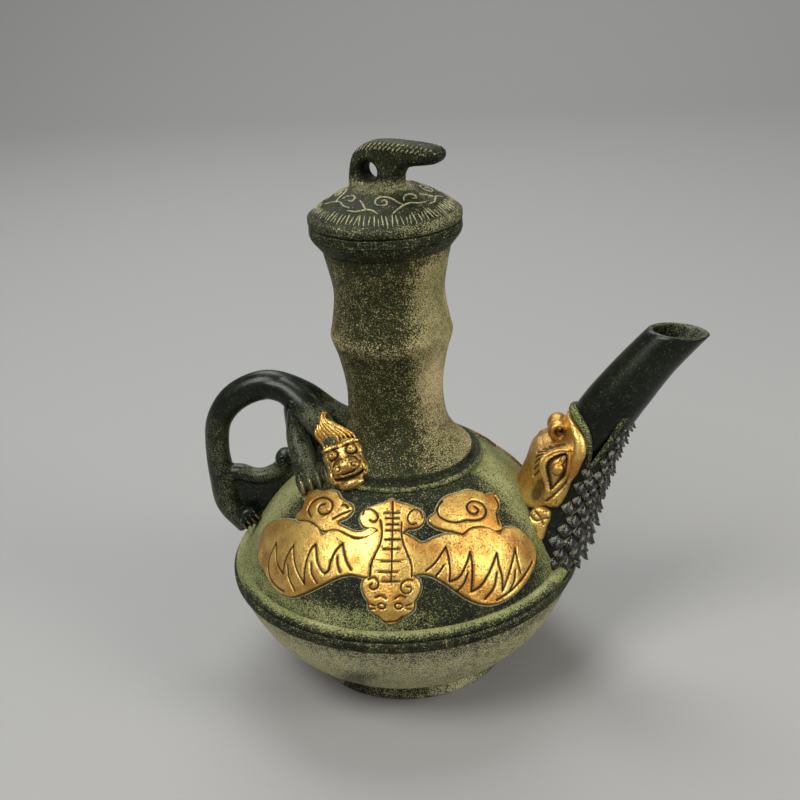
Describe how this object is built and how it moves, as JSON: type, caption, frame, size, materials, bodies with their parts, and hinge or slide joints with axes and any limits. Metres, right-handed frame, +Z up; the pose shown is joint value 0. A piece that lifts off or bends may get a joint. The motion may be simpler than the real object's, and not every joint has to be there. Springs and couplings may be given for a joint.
{
  "type": "bronze wine flask",
  "caption": "Bronze wine flask with a bulbous body, bamboo-jointed neck, lift-off lid, dragon-fish spout, beast loop handle and gilt bat panels.",
  "frame": {"origin": "the middle of the foot, on the flask's axis at the table", "axes": "+Z up the flask's axis, +X towards the spout, -X towards the handle, -Y towards the bat panel that the picture shows"},
  "size_m": [0.1517, 0.108, 0.165],
  "materials": {
    "patina": "green-grey patinated bronze, satin",
    "dark_bronze": "black-green bronze, semi-gloss",
    "gilt": "worn gilding, engraved"
  },
  "bodies": {
    "flask": {"base_plate": "patina", "foot_ring": "patina", "lower_bowl": "patina", "waist_band": "dark_bronze", "shoulder": "patina", "neck_collar": "dark_bronze", "neck": "patina", "mouth_rim": "dark_bronze", "spout_tube": "dark_bronze", "dragon_throat": "dark_bronze", "dragon_face": "gilt", "throat_scales": "dark_bronze", "gill_leaf_front": "gilt", "dragon_eye_front": "gilt", "nostril_curl_front": "gilt", "upper_lip_front": "gilt", "gill_leaf_back": "gilt", "dragon_eye_back": "gilt", "nostril_curl_back": "gilt", "upper_lip_back": "gilt", "handle_loop": "dark_bronze", "beast_head": "gilt", "beast_mane": "gilt", "foreleg_front": "dark_bronze", "hind_paw_front": "dark_bronze", "foreleg_back": "dark_bronze", "hind_paw_back": "dark_bronze", "bat_body_front": "gilt", "bat_wing_front_left": "gilt", "bat_wing_front_right": "gilt", "cloud_front_left": "gilt", "cloud_front_right": "gilt", "bat_body_back": "gilt", "bat_wing_back_left": "gilt", "bat_wing_back_right": "gilt", "cloud_back_left": "gilt", "cloud_back_right": "gilt"},
    "lid": {"lid_dome": "patina", "lid_skirt": "patina", "lid_knob": "patina"}
  },
  "joints": [
    {"name": "lid_lift", "type": "slide", "parent": "flask", "child": "lid", "axis": [0, 0, 1], "range_m": [0, 0.045]}
  ]
}
